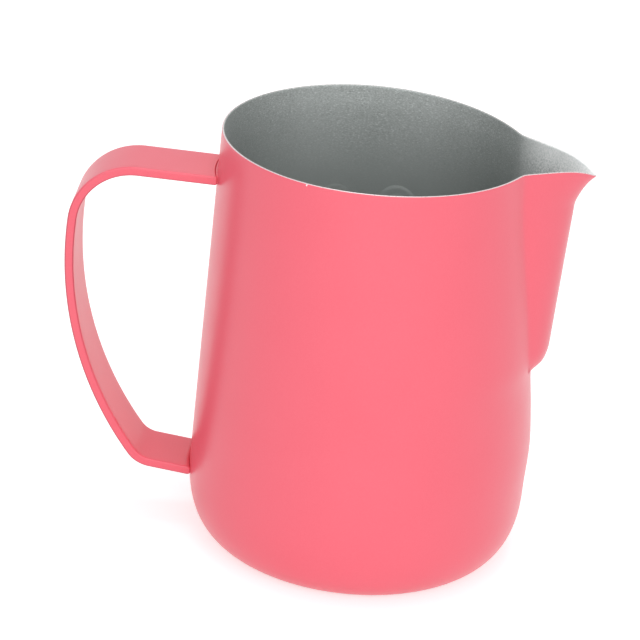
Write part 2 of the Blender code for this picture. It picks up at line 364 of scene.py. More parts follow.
def closed_grid_object(name, points, poles, face_rows=None):
    """An object from grid rows, closed at both ends by poles. face_rows gives each band's material number."""
    rows, columns = points.shape[:2]
    verts = np.concatenate([points.reshape(-1, 3), np.asarray(poles, float)])
    quads = grid_faces(rows, columns)
    start = pole_faces(0, columns, rows * columns, True)
    end = pole_faces((rows - 1) * columns, columns, rows * columns + 1, False)
    mesh = bpy.data.meshes.new(name)
    mesh.from_pydata(verts.tolist(), [], quads.tolist() + start.tolist() + end.tolist())
    mesh.polygons.foreach_set("use_smooth", np.ones(len(mesh.polygons), bool))
    if face_rows is not None:
        bands = np.repeat(face_rows, columns)
        ends = np.repeat([face_rows[0], face_rows[-1]], columns)
        mesh.polygons.foreach_set("material_index", np.concatenate([bands, ends]).astype(np.int32))
    mesh.update()
    obj = bpy.data.objects.new(name, mesh)
    bpy.context.scene.collection.objects.link(obj)
    print(name, "has", len(mesh.vertices), "points and", len(mesh.polygons), "faces")
    return obj


def store(piece, name, values):
    """A number at each point of a piece, for its material to read."""
    attribute = piece.data.attributes.new(name, "FLOAT", "POINT")
    attribute.data.foreach_set("value", np.asarray(values, np.float32))


# %% The shell
COAT_SLOT, RIM_SLOT, STEEL_SLOT = 0, 1, 2
COATED_LIP_ROWS = 2
sheet = np.concatenate([under_base, outer, lip, inner[::-1], inner_floor])
band = np.full(len(sheet) - 1, COAT_SLOT)
rim_start = len(under_base) + len(outer) - 1
band[rim_start + COATED_LIP_ROWS:] = RIM_SLOT
band[rim_start + LIP_ROWS // 2 + 2:] = STEEL_SLOT
shell_poles = [(0.0, 0.0, BASE_DISH), (0.0, 0.0, WALL + BASE_DISH)]
shell = closed_grid_object("pitcher_shell", sheet, shell_poles, band)

# %% [markdown]
# How far from the rim
#
# Wear, painted light and grain all change with the distance from the rim. Height alone would not do, because
# the rim dips towards the spout. So the way along the sheet is added up row by row and stored at each point,
# where the materials can read it.

# %% Distance below the rim
step = np.linalg.norm(np.diff(sheet, axis=0), axis=-1)
along = np.concatenate([np.zeros((1, COLUMNS)), np.cumsum(step, 0)])
below = np.abs(along - along[rim_start + 1 + LIP_ROWS // 2])
store(shell, "below_rim", np.append(below, [RIM_HEIGHT, RIM_HEIGHT]))
print("deepest place below the rim, mm:", round(below.max() / MM, 1))

# %% [markdown]
# Level marks inside
#
# Two small round pads are pressed into the back of the wall as level marks, and their tops just show over
# the near rim. Raising them in the shell's own grid would need far more points, so each is a small patch of
# its own: rings round a centre on the inner wall, lifted inwards by a step at the edge and a low dome.

# %% Press the level marks
MARK_RADIUS = 6.0 * MM
MARK_RINGS = 18
MARK_POINTS = 64
STEP_SLOPE = 0.22
DOME_RISE = 1.4
DOME_EDGE = 0.62
DOME_SLOPE = 0.45
MARK_ROOT = 0.03 * MM
MARK_BEHIND = 1.005
MARK_PLACES = [
    ("level_mark_right", math.radians(84.7), 77.0 * MM, 0.24 * MM),
    ("level_mark_left", math.radians(108.7), 76.4 * MM, 0.12 * MM),
]


def mark_rows(place, level, rise):
    """Rings on the inner wall: the sheet's inner radius less a step at the edge and a dome in the middle."""
    ring = np.linspace(0.0, 1.0, MARK_RINGS + 1)[1:, None]
    turn = np.linspace(0.0, 2.0 * np.pi, MARK_POINTS, endpoint=False)[None, :]
    angle = place + ring * MARK_RADIUS * np.cos(turn) / wall_radius(level)
    height = level + ring * MARK_RADIUS * np.sin(turn)
    step = smooth_step((1.0 - ring) / STEP_SLOPE)
    dome = DOME_RISE * smooth_step((DOME_EDGE - ring) / DOME_SLOPE)
    lift = rise * (step + dome) - MARK_ROOT
    radius = skin_radius(angle, height) - WALL - lift
    return np.stack([radius * np.cos(angle), radius * np.sin(angle), height], -1)


marks = []
for name, place, level, rise in MARK_PLACES:
    rows = mark_rows(place, level, rise)
    behind = rows[-1].mean(0) * np.array([MARK_BEHIND, MARK_BEHIND, 1.0])
    mark = closed_grid_object(name, rows, [rows[0].mean(0), behind])
    store(mark, "below_rim", RIM_HEIGHT - np.append(rows[..., 2], [level, level]))
    marks.append(mark)

# %% [markdown]
# The handle
#
# The handle is a flat strip of steel bent round a former. Its centre line is a chain of tangent pieces:
# a short run out from the wall, a tight shoulder, a long slow grip, a tight heel and a run back. The
# strip is made by carrying a rounded rectangle along that line. The grip's radius is
# worked out, so that the last run meets the wall at the lower joint.

# %% The strap's centre line
UPPER_JOINT = 97.3 * MM
LOWER_JOINT = 16.5 * MM
UPPER_RUN = 19.2 * MM
UPPER_RISE = math.radians(1.4)
SHOULDER_RADIUS = 15.6 * MM
SHOULDER_LEAN = math.radians(5.0)
GRIP_LEAN = math.radians(36.9)
HEEL_RADIUS = 7.2 * MM
LOWER_FALL = math.radians(6.7)
SHOULDER_ROWS = 30
GRIP_ROWS = 60
HEEL_ROWS = 26


def turn_shift(start, end):
    """The way that a left-hand arc of unit radius goes from one heading to another."""
    return np.stack([np.sin(end) - np.sin(start), np.cos(start) - np.cos(end)], -1)


def strap_line():
    """Centre points and headings in the XZ plane, and the two places where the line meets the wall."""
    out = math.pi - UPPER_RISE
    down = 1.5 * math.pi - SHOULDER_LEAN
    inwards = 1.5 * math.pi + GRIP_LEAN
    back = 2.0 * math.pi - LOWER_FALL
    upper = np.array([-float(wall_radius(UPPER_JOINT)), UPPER_JOINT])
    lower = np.array([-float(wall_radius(LOWER_JOINT)), LOWER_JOINT])
    corner = upper + UPPER_RUN * np.array([math.cos(out), math.sin(out)])
    grip = turn_shift(down, inwards)
    heel = HEEL_RADIUS * turn_shift(inwards, back)
    short = lower - corner - SHOULDER_RADIUS * turn_shift(out, down) - heel
    grip_radius = (short[1] - math.tan(back) * short[0]) / (grip[1] - math.tan(back) * grip[0])
    points, headings = [corner[None]], [np.array([out])]
    turns = [
        (SHOULDER_RADIUS, out, down, SHOULDER_ROWS),
        (grip_radius, down, inwards, GRIP_ROWS),
        (HEEL_RADIUS, inwards, back, HEEL_ROWS),
    ]
    for radius, start, end, count in turns:
        heading = np.linspace(start, end, count + 1)[1:]
        points.append(points[-1][-1] + radius * turn_shift(np.full(count, start), heading))
        headings.append(heading)
    print("grip radius, mm:", round(grip_radius / MM, 1))
    return np.concatenate(points), np.concatenate(headings), upper, lower


line, heading, upper_joint, lower_joint = strap_line()
print("strap line:", len(line), "points, outermost x =", round(line[:, 0].min() / MM, 2), "mm")

# %% [markdown]
# A rounded rectangle with soft long edges
#
# The strip's edges were tumbled before coating, so they are round, not sharp. The outline is four
# quarter circles joined by straight sides, with a few points along the long sides so that light runs
# evenly over the flats.

# %% The strip's outline
STRAP_WIDTH = 16.7 * MM
STRAP_THICKNESS = 2.3 * MM
STRAP_EDGE = 0.45 * MM


def rounded_outline(width, thickness, radius, arc_points=7, side_points=9):
    """Across and through offsets of a rounded rectangle: quarter circles at the corners, points between."""
    half = np.array([0.5 * width - radius, 0.5 * thickness - radius])
    signs = np.array([[1, 1], [-1, 1], [-1, -1], [1, -1]])
    quarter = np.linspace(0.0, 0.5 * np.pi, arc_points)
    corners = []
    for i, sign in enumerate(signs):
        angle = quarter + 0.5 * np.pi * i
        corners.append(sign * half + radius * np.stack([np.cos(angle), np.sin(angle)], -1))
    pieces = []
    for i in range(4):
        nearest = corners[(i + 1) % 4][0]
        between = np.linspace(corners[i][-1], nearest, side_points + 2)[1:-1]
        pieces += [corners[i], between]
    return np.concatenate(pieces)


outline = rounded_outline(STRAP_WIDTH, STRAP_THICKNESS, STRAP_EDGE)
print("strap outline:", len(outline), "points")

# %% [markdown]
# Saddle-cut ends
#
# Each end of the strip is cut to the curve of the wall before welding. So the last row isn't flat: every
# point of the outline runs on along the strip until it is one weld gap from the wall. The upper end has a
# nearly sharp edge, and its gap closes at the two sides, where the weld was run right round. The lower end
# sits close to the wall and was rounded over first.

# %% Sweep the strap
UPPER_GAP = 0.75 * MM
UPPER_BREAK = (0.10 * MM, 0.10 * MM)
UPPER_CLOSE = (0.38, 0.90)
LOWER_GAP = 0.08 * MM
LOWER_BREAK = (1.0 * MM, 0.42 * MM)
SIDE_BREAK = 0.2 * MM
LOWER_CLOSE = (0.0, 0.0)
CLOSE_POWER = 8.0
RUN_ROWS = 12
BREAK_ROWS = 8


def joint_gap(across, gap, close):
    """Gap to the wall at a place across the strip: full in the middle, closed by a share at each side."""
    edge = np.minimum(np.abs(across) / (0.5 * STRAP_WIDTH), 1.0)
    return gap * (1.0 - np.where(across < 0.0, close[0], close[1]) * edge**CLOSE_POWER)


def carried(points, headings, shape):
    """The outline at each point of the line: across is the Y direction, through is the line's outer side."""
    side = np.stack([np.sin(headings), -np.cos(headings)], -1)
    place = points[:, None, :] + side[:, None, :] * shape[None, :, 1, None]
    across = np.broadcast_to(shape[None, :, 0], place.shape[:2])
    return np.stack([place[..., 0], across, place[..., 1]], -1)


def to_wall(row, heading_in, gap):
    """A row moved along a straight run until each point lies its own gap outside the wall."""
    reach = wall_radius(row[:, 2]) + gap
    x = -np.sqrt(reach**2 - row[:, 1] ** 2)
    z = row[:, 2] + (x - row[:, 0]) * math.tan(heading_in)
    return np.stack([x, row[:, 1], z], -1)


def run_rows(row, heading_in, centre, gap, end_break, close):
    """Rows of a straight run from an arc's end to the wall, ending in a quarter ellipse."""
    clear = joint_gap(row[:, 1], gap, close)
    face = to_wall(row, heading_in, clear)
    length, depth = end_break
    side = min(depth, SIDE_BREAK)
    shrink = np.array([0.0, side / (0.5 * STRAP_WIDTH), depth / (0.5 * STRAP_THICKNESS)])
    stop = to_wall(row, heading_in, clear + length)
    share = np.linspace(0.0, 1.0, RUN_ROWS + 1)[1:, None, None]
    rows = row + (stop - row) * share
    breaks = []
    for angle in np.linspace(0.0, 0.5 * np.pi, BREAK_ROWS + 1)[1:]:
        ring = stop + (face - stop) * math.sin(angle)
        middle = np.array([ring[:, 0].mean(), 0.0, centre(ring[:, 0].mean())])
        inset = 1.0 - math.cos(angle)
        breaks.append(ring - (ring - middle) * shrink * inset)
    return np.concatenate([rows, np.array(breaks)])


def on_line(joint, angle):
    """Height of a straight run at a place along X."""
    return lambda x: joint[1] + (x - joint[0]) * math.tan(angle)


body_rows = carried(line, heading, outline)
upper_line = on_line(upper_joint, heading[0])
lower_line = on_line(lower_joint, heading[-1])
upper_rows = run_rows(body_rows[0], heading[0], upper_line, UPPER_GAP, UPPER_BREAK, UPPER_CLOSE)
lower_rows = run_rows(body_rows[-1], heading[-1], lower_line, LOWER_GAP, LOWER_BREAK, LOWER_CLOSE)
strap_rows = np.concatenate([upper_rows[::-1], body_rows, lower_rows])
strap_poles = [upper_rows[-1].mean(0), lower_rows[-1].mean(0)]
strap = closed_grid_object("strap_handle", strap_rows, strap_poles)
print("strap reaches x =", round(strap_rows[..., 0].min() / MM, 2), "mm")

# %% [markdown]
# Painted shade along the edges
#
# The strip's long rounded edges get painted shade, a darker tone, and the edges that face up are left
# without it, as the light falls from above. Both are known from the outline and the heading, so they are
# stored as one number at each point for the material to read.

# %% Painted shade along the edges
OUTER_SPREAD = 0.6
INNER_SPREAD = 1.5
LIT_EDGE_RISE = 0.45


def painted_edge_shade_share(headings):
    """Share of painted shade: 0 on the flats and 1 along the rounded edges, sine of twice the bend, less
    where the edge faces up.
    """
    corner = np.array([0.5 * STRAP_WIDTH, 0.5 * STRAP_THICKNESS]) - STRAP_EDGE
    bend = np.clip((np.abs(outline) - corner) / STRAP_EDGE, 0.0, 1.0)
    spread = np.where(outline[:, 1] > 0.0, OUTER_SPREAD, INNER_SPREAD)
    edge = np.clip(2.0 * bend[:, 0] * bend[:, 1], 0.0, 1.0) ** spread
    rise = -np.cos(headings)[:, None] * (np.sign(outline[:, 1]) * bend[:, 1])[None, :]
    return edge * smooth_step((LIT_EDGE_RISE - rise) / LIT_EDGE_RISE)


upper_headings = np.full(len(upper_rows), heading[0])
lower_headings = np.full(len(lower_rows), heading[-1])
painted_shade = painted_edge_shade_share(np.concatenate([upper_headings, heading, lower_headings]))
store(strap, "painted_edge_shade", np.append(painted_shade, [0.0, 0.0]))
print("share of the strap with a thin coat:", round(float(painted_shade.mean()), 3))

# %% [markdown]
# The weld seams
#
# Between each strip end and the wall lies a seam of weld, ground flush and coated over. At the top it shows
# as a narrow bead with a fine dark crack beside the strip. Below it is only a thread of shadow. The seam is
# the strip's outline again, a little smaller, carried from just inside the wall almost to the strip's end.

# %% Make the seams
SEAM_ROWS = 11
SEAM_RIPPLES = 34
SEAM_RIPPLE = 0.03 * MM
SEAM_ROOT = -0.1 * MM
SEAM_ROUND = 0.22
SEAM_EDGE = 0.4 * MM
SEAM_LEAST = 0.02 * MM
SEAM_SHRINK = 0.2 * MM
SEAM_ARC_POINTS = 9
SEAM_SIDE_POINTS = 21
UPPER_SLIT = 0.2 * MM
UPPER_INSETS = (0.7 * MM, 0.03 * MM)
LOWER_SLIT = 0.05 * MM
LOWER_INSETS = (0.7 * MM, 0.55 * MM)


def seam_rows(joint, angle, gap, slit, close, insets):
    """Rows from inside the wall to a slit short of the strip, with a rippled edge and a round end."""
    width = STRAP_WIDTH - 2.0 * insets[0]
    thickness = STRAP_THICKNESS - 2.0 * insets[1]
    shape = rounded_outline(width, thickness, SEAM_EDGE, SEAM_ARC_POINTS, SEAM_SIDE_POINTS)
    share = np.linspace(0.0, 1.0, SEAM_ROWS)[:, None]
    ripple = np.sin(np.linspace(0.0, 2.0 * np.pi, len(shape), endpoint=False) * SEAM_RIPPLES)
    past = np.clip((share - 1.0 + SEAM_ROUND) / SEAM_ROUND, 0.0, 1.0)
    grow = SEAM_RIPPLE * ripple - SEAM_SHRINK * (1.0 - np.sqrt(1.0 - past**2))
    outward = np.sign(shape) * np.minimum(np.abs(shape) / SEAM_EDGE, 1.0)
    shape = shape[None] + grow[..., None] * outward
    x = joint[0] + math.sin(angle) * shape[..., 1]
    z = joint[1] - math.cos(angle) * shape[..., 1]
    y = shape[..., 0]
    reach_out = np.maximum(joint_gap(y, gap, close) - slit, SEAM_LEAST)
    reach = wall_radius(z) + SEAM_ROOT + (reach_out - SEAM_ROOT) * share
    x_wall = -np.sqrt(reach**2 - y**2)
    return np.stack([x_wall, y, z + (x_wall - x) * math.tan(angle)], -1)


UPPER_SEAM = (upper_joint, heading[0], UPPER_GAP, UPPER_SLIT, UPPER_CLOSE, UPPER_INSETS)
LOWER_SEAM = (lower_joint, heading[-1], LOWER_GAP, LOWER_SLIT, LOWER_CLOSE, LOWER_INSETS)
seams = []
for name, sizes in [("upper_seam", UPPER_SEAM), ("lower_seam", LOWER_SEAM)]:
    rows = seam_rows(*sizes)
    seams.append(closed_grid_object(name, rows, [rows[0].mean(0), rows[-1].mean(0)]))

# %% [markdown]
# Outwards and inwards
#
# A face has a front and a back, and the front should be the outside of the metal. The volume inside a
# closed mesh tells which it is: added up over the triangles, it is negative where the faces look inwards.

# %% Turn every face outwards
MILLILITRE = 1.0e-6
for piece in [shell, strap] + seams + marks:
    points = np.empty(len(piece.data.vertices) * 3)
    piece.data.vertices.foreach_get("co", points)
    piece.data.calc_loop_triangles()
    corners = np.empty(len(piece.data.loop_triangles) * 3, np.int32)
    piece.data.loop_triangles.foreach_get("vertices", corners)
    volume = np.linalg.det(points.reshape(-1, 3)[corners.reshape(-1, 3)]).sum() / 6.0
    if volume < 0.0:
        piece.data.flip_normals()
    print(piece.name, "holds", round(abs(volume) / MILLILITRE, 2), "ml of metal, turned:", volume < 0.0)

# %% [markdown]
# Coral coat
#
# The outside and the handle are sprayed with a satin coat. Under a soft light it is one even
# colour, but up close it has a faint orange peel, a slight drift in tone and a sheen that turns pale at a
# glancing angle. The sheen is the shader's own gloss. Noise textures in object coordinates give the
# peel and the drift, and a thin band along the rim lets bare metal through where the coat is chipped.

# %% Node helpers
NOISE_RANGE = (0.3, 0.7)
RAGGED_SCALE = 2500.0
RAGGED_SHARES = (0.6, 1.2)


def new_material(name):
    """A material with a Principled shader, and its node tree."""
    material = bpy.data.materials.new(name)
    material.use_nodes = True
    return material, material.node_tree, material.node_tree.nodes["Principled BSDF"]


def noise(tree, scale, detail=3.0, roughness=0.5, stretch=(1.0, 1.0, 1.0)):
    """A noise texture on object coordinates, in cells per metre, with an optional stretch."""
    place = tree.nodes.new("ShaderNodeTexCoord")
    mapping = tree.nodes.new("ShaderNodeMapping")
    mapping.inputs["Scale"].default_value = stretch
    texture = tree.nodes.new("ShaderNodeTexNoise")
    texture.inputs["Scale"].default_value = scale
    texture.inputs["Detail"].default_value = detail
    texture.inputs["Roughness"].default_value = roughness
    tree.links.new(place.outputs["Object"], mapping.inputs["Vector"])
    tree.links.new(mapping.outputs["Vector"], texture.inputs["Vector"])
    return texture.outputs["Fac"]


def span(tree, value, low, high, from_low=0.0, from_high=1.0):
    """A value stretched from one range to another and held inside it."""
    node = tree.nodes.new("ShaderNodeMapRange")
    for name, number in zip(("From Min", "From Max", "To Min", "To Max"), (from_low, from_high, low, high)):
        node.inputs[name].default_value = number
    tree.links.new(value, node.inputs["Value"])
    return node.outputs["Result"]


def mix_colour(tree, share, first, second):
    """A blend of two colours, each a tuple or a socket, by a share socket."""
    node = tree.nodes.new("ShaderNodeMix")
    node.data_type = "RGBA"
    tree.links.new(share, node.inputs["Factor"])
    for socket, colour in ((node.inputs[6], first), (node.inputs[7], second)):
        if isinstance(colour, tuple):
            socket.default_value = colour
        else:
            tree.links.new(colour, socket)
    return node.outputs[2]


def bump(tree, shader, height, distance, strength=1.0, after=None):
    """Relief on the shader's normal, from a height and a depth in metres."""
    node = tree.nodes.new("ShaderNodeBump")
    node.inputs["Distance"].default_value = distance
    node.inputs["Strength"].default_value = strength
    tree.links.new(height, node.inputs["Height"])
    if after is not None:
        tree.links.new(after, node.inputs["Normal"])
    tree.links.new(node.outputs["Normal"], shader.inputs["Normal"])
    return node.outputs["Normal"]


def calculate(tree, operation, first, second=0.0):
    """One step of arithmetic on two values, each a number or a socket."""
    node = tree.nodes.new("ShaderNodeMath")
    node.operation = operation
    for socket, value in zip(node.inputs, (first, second)):
        if isinstance(value, float):
            socket.default_value = value
        else:
            tree.links.new(value, socket)
    return node.outputs["Value"]


def stored(tree, name):
    """The number that was stored at each point under a name."""
    node = tree.nodes.new("ShaderNodeAttribute")
    node.attribute_name = name
    return node.outputs["Fac"]


def near_point(tree, point, radius):
    """1 close to a place on the object and 0 beyond a radius, with a ragged border."""
    place = tree.nodes.new("ShaderNodeTexCoord")
    away = tree.nodes.new("ShaderNodeVectorMath")
    away.operation = "DISTANCE"
    away.inputs[1].default_value = point
    tree.links.new(place.outputs["Object"], away.inputs[0])
    low, high = RAGGED_SHARES
    ragged = span(tree, noise(tree, RAGGED_SCALE, 2.0), low * radius, high * radius, *NOISE_RANGE)
    return calculate(tree, "LESS_THAN", away.outputs["Value"], ragged)


# %% The coat
CHIP_ANGLE = math.radians(-115.6)
CHIP_HEIGHT = RIM_HEIGHT - 0.35 * MM
CHIP_PLACE = (RIM_RADIUS * math.cos(CHIP_ANGLE), RIM_RADIUS * math.sin(CHIP_ANGLE), CHIP_HEIGHT)
CHIP_RADIUS = 0.30 * MM
WEAR_LEAST = 0.18 * MM
WEAR_MOST = 0.30 * MM
WEAR_BORDER = 0.06 * MM
CORAL = (0.905, 0.134, 0.188, 1.0)
CORAL_DEEP = (0.885, 0.119, 0.170, 1.0)
STRAP_CORAL = (0.880, 0.136, 0.187, 1.0)
STRAP_DEEP = (0.860, 0.120, 0.169, 1.0)
BARE = (0.80, 0.79, 0.78, 1.0)
PAINTED_STRAP_SHADE = (0.54, 0.080, 0.115, 1.0)
PAINTED_SHADE_SHARE = 0.8
CORAL_FLECK = (0.98, 0.22, 0.28, 1.0)
FLECK_SHARE = 0.10
DRIFT_SCALE = 45.0
FLECK_SCALE = 2600.0
WEAR_SCALE = 900.0
WEAR_RANGE = (0.35, 0.80)
SATIN_SCALE = 160.0
SATIN_ROUGHNESS = (0.29, 0.36)
PEEL_SCALE = 500.0
PEEL_DEPTH = 0.006 * MM
SPRAY_SCALE = 2200.0
SPRAY_DEPTH = 0.0012 * MM
COAT_RELIEF = 0.5
COAT_IOR = 1.57
STRAP_IOR = 1.53


def coat_material(name, light, deep, gloss, chipped):
    """Satin coral coat: two close tones, orange peel, and bare metal at the rim or painted shade at the
    strap's edges.
    """
    material, tree, shader = new_material(name)
    tone = mix_colour(tree, noise(tree, DRIFT_SCALE, 2.0), deep, light)
    fleck = span(tree, noise(tree, FLECK_SCALE, 2.0), 0.0, FLECK_SHARE, *NOISE_RANGE)
    tone = mix_colour(tree, fleck, tone, CORAL_FLECK)
    if chipped:
        ragged = span(tree, noise(tree, WEAR_SCALE, 4.0), WEAR_LEAST, WEAR_MOST, *WEAR_RANGE)
        short = calculate(tree, "SUBTRACT", ragged, stored(tree, "below_rim"))
        edge_wear = span(tree, short, 0.0, 1.0, 0.0, WEAR_BORDER)
        chip = calculate(tree, "MAXIMUM", edge_wear, near_point(tree, CHIP_PLACE, CHIP_RADIUS))
        tone = mix_colour(tree, chip, tone, BARE)
        tree.links.new(chip, shader.inputs["Metallic"])
    else:
        # Painted shade: the strap's rounded edges are darkened, except where they face up.
        shade_share = span(tree, stored(tree, "painted_edge_shade"), 0.0, PAINTED_SHADE_SHARE)
        tone = mix_colour(tree, shade_share, tone, PAINTED_STRAP_SHADE)
    tree.links.new(tone, shader.inputs["Base Color"])
    tree.links.new(span(tree, noise(tree, SATIN_SCALE), *SATIN_ROUGHNESS), shader.inputs["Roughness"])
    shader.inputs["IOR"].default_value = gloss
    peel = bump(tree, shader, noise(tree, PEEL_SCALE, 2.0), PEEL_DEPTH, COAT_RELIEF)
    bump(tree, shader, noise(tree, SPRAY_SCALE, 1.0), SPRAY_DEPTH, COAT_RELIEF, peel)
    return material


coat = coat_material("coral_coat", CORAL, CORAL_DEEP, COAT_IOR, True)
strap_coat = coat_material("coral_strap_coat", STRAP_CORAL, STRAP_DEEP, STRAP_IOR, False)
print("coat materials:", coat.name, strap_coat.name)

# %% [markdown]
# Bare steel inside
#
# The inside was left bare and bead blasted, so it is a soft grey with a fine sparkling grain. The
# grain is a very fine noise in the colour, the relief and the roughness, and it fades with the distance below
# the rim. A slower noise makes the faint clouds that blasting leaves, and a stretched one the faint rings of
# the drawing press. Over that lie painted light and shade: painted light in the spout, lighter towards the
# tip, painted light near the rim, two pale painted streaks down the wall and two places of painted shade.
# Those are read from the place along X and the distance below the rim.

# %% The blasted steel and the cut rim
STEEL = (0.400, 0.427, 0.416, 1.0)
STEEL_LIGHT = (0.452, 0.481, 0.469, 1.0)
STEEL_SPARK_AND_PAINTED_LIGHT = (0.78, 0.81, 0.80, 1.0)
STEEL_PIT_AND_PAINTED_SHADE = (0.20, 0.215, 0.21, 1.0)
STEEL_GLOSS = 0.5
PAINTED_SPOUT_LIGHT = (0.88, 0.91, 0.90, 1.0)
PAINTED_SPOUT_LIGHT_DEEP = (0.54, 0.57, 0.56, 1.0)
PAINTED_SPOUT_LIGHT_DEPTH = 8.0 * MM
PAINTED_SPOUT_LIGHT_SPARK = (1.0, 1.0, 1.0, 1.0)
SPOUT_LIGHT_START = 32.0 * MM
SPOUT_LIGHT_END = 40.0 * MM
GRAIN_AT_RIM = 1.9
GRAIN_BELOW = 0.3
GRAIN_TOP = 3.0 * MM
GRAIN_DEPTH = 25.0 * MM
STREAK_CENTRE = -5.5 * MM
STREAK_OFFSET = 16.5 * MM
STREAK_SPAN = 14.0 * MM
LIGHT_STREAK_SHARE = 0.20
STREAK_DEPTH = 36.0 * MM
SHADED_PLACES = ((-42.0 * MM, 12.0 * MM, 0.28), (29.0 * MM, 9.0 * MM, 0.22))
RIM_LIGHT_DEPTH = 22.0 * MM
RIM_LIGHT_SHARE = 0.07
SPOUT_LIGHT_SHARE = 0.93
STREAK_BELOW = 0.2
GRAIN_SHARE = 0.7
SPARK_RANGE = (0.52, 0.80)
PIT_RANGE = (0.20, 0.46)
SPECKLE_RANGE = (0.36, 0.62)
GRAIN_SCALE = 1800.0
GRAIN_STRETCH = (1.0, 1.0, 2.3)
GRAIN_RELIEF = 0.04 * MM
SPECKLE_SCALE = 2300.0
CLOUD_SCALE = 60.0
RING_STRETCH = (0.3, 0.3, 14.0)
RING_RELIEF = 0.015 * MM
STEEL_ROUGHNESS = (0.50, 0.66)
RIM_GLOSS = 0.35
RIM_DARK = (0.70, 0.58, 0.58, 1.0)
RIM_PALE = (0.84, 0.74, 0.74, 1.0)
RIM_ROUGHNESS = (0.22, 0.40)
GRIND_SCALE = 1500.0
GRIND_RELIEF = 0.01 * MM


def apart(tree, value, place):
    """How far a value is from a place, either way."""
    return calculate(tree, "ABSOLUTE", calculate(tree, "SUBTRACT", value, place))


def grain_tone(tree, grain, depth):
    """Cloudy grey with bright and dark grain, which the blasting left strongest near the rim."""
    tone = mix_colour(tree, noise(tree, CLOUD_SCALE, 4.0), STEEL, STEEL_LIGHT)
    strength = span(tree, depth, GRAIN_AT_RIM, GRAIN_BELOW, GRAIN_TOP, GRAIN_DEPTH)
    spark = calculate(tree, "MULTIPLY", span(tree, grain, 0.0, GRAIN_SHARE, *SPARK_RANGE), strength)
    pit = calculate(tree, "MULTIPLY", span(tree, grain, GRAIN_SHARE, 0.0, *PIT_RANGE), strength)
    return mix_colour(tree, pit, mix_colour(tree, spark, tone, STEEL_SPARK_AND_PAINTED_LIGHT), STEEL_PIT_AND_PAINTED_SHADE)


def painted_interior_light(tree, tone, depth):
    """Painted light and shade on the grain: a lit spout, a lighter rim, two pale streaks and two darker
    places.
    """
    where = tree.nodes.new("ShaderNodeTexCoord")
    axes = tree.nodes.new("ShaderNodeSeparateXYZ")
    tree.links.new(where.outputs["Object"], axes.inputs["Vector"])
    along = axes.outputs["X"]
    # Painted light inside the spout: lighter towards the tip, darker with depth, with white painted glints.
    speckle = span(tree, noise(tree, SPECKLE_SCALE, 2.0, 0.6), 0.0, 1.0, *SPECKLE_RANGE)
    deep = span(tree, depth, 0.0, 1.0, 0.0, PAINTED_SPOUT_LIGHT_DEPTH)
    bright = mix_colour(tree, deep, PAINTED_SPOUT_LIGHT, PAINTED_SPOUT_LIGHT_DEEP)
    bright = mix_colour(tree, speckle, bright, PAINTED_SPOUT_LIGHT_SPARK)
    spout_light = span(tree, along, 0.0, SPOUT_LIGHT_SHARE, SPOUT_LIGHT_START, SPOUT_LIGHT_END)
    tone = mix_colour(tree, spout_light, tone, bright)
    # Painted light near the rim, fading with depth.
    rim_light = span(tree, depth, RIM_LIGHT_SHARE, 0.0, 0.0, RIM_LIGHT_DEPTH)
    tone = mix_colour(tree, rim_light, tone, STEEL_SPARK_AND_PAINTED_LIGHT)
    # Painted light: two pale streaks down the wall, fading with depth.
    aside = apart(tree, apart(tree, along, STREAK_CENTRE), STREAK_OFFSET)
    light_streak = span(tree, aside, LIGHT_STREAK_SHARE, 0.0, 0.0, STREAK_SPAN)
    fade = span(tree, depth, 1.0, STREAK_BELOW, 0.0, STREAK_DEPTH)
    light_streak = calculate(tree, "MULTIPLY", light_streak, fade)
    tone = mix_colour(tree, light_streak, tone, STEEL_SPARK_AND_PAINTED_LIGHT)
    # Painted shade: two darker places, one at the left of the inside and one beside the spout.
    for place, reach, share in SHADED_PLACES:
        painted_dark = span(tree, apart(tree, along, place), share, 0.0, 0.0, reach)
        tone = mix_colour(tree, painted_dark, tone, STEEL_PIT_AND_PAINTED_SHADE)
    return tone


def steel_material():
    """Bead-blasted steel: half metallic, rough, with grain, clouds and faint drawing rings, under painted
    light and shade.
    """
    material, tree, shader = new_material("blasted_steel")
    shader.inputs["Metallic"].default_value = STEEL_GLOSS
    grain = noise(tree, GRAIN_SCALE, 3.0, 0.65, GRAIN_STRETCH)
    depth = stored(tree, "below_rim")
    tone = painted_interior_light(tree, grain_tone(tree, grain, depth), depth)
    tree.links.new(tone, shader.inputs["Base Color"])
    tree.links.new(span(tree, grain, *STEEL_ROUGHNESS, *NOISE_RANGE), shader.inputs["Roughness"])
    ring = noise(tree, CLOUD_SCALE, 2.0, 0.5, RING_STRETCH)
    rings = bump(tree, shader, ring, RING_RELIEF, 0.4)
    bump(tree, shader, grain, GRAIN_RELIEF, 0.6, rings)
    return material


def rim_material():
    """The cut edge of the sheet: pale ground steel with a trace of coat, and fine grinding marks."""
    material, tree, shader = new_material("cut_rim")
    shader.inputs["Metallic"].default_value = RIM_GLOSS
    grinding = noise(tree, GRIND_SCALE, 4.0, 0.6)
    tone = mix_colour(tree, grinding, RIM_DARK, RIM_PALE)
    tree.links.new(tone, shader.inputs["Base Color"])
    tree.links.new(span(tree, grinding, *RIM_ROUGHNESS, *NOISE_RANGE), shader.inputs["Roughness"])
    bump(tree, shader, grinding, GRIND_RELIEF, 0.4)
    return material


steel = steel_material()
rim_metal = rim_material()
print("bare materials:", steel.name, rim_metal.name)

# %% [markdown]
# Coated welds
#
# The spray gets into the groove at the joints but lies thin there, and the seam sits in shade. Its colour
# is the coat's, deeper, with the small unevenness of a ground bead.

# %% The weld coat
WELD_DEEP = (0.80, 0.100, 0.145, 1.0)
WELD_LIGHT = (0.89, 0.130, 0.180, 1.0)
WELD_ROUGHNESS = (0.25, 0.40)
MOTTLE_SCALE = 1200.0
MOTTLE_RELIEF = 0.02 * MM


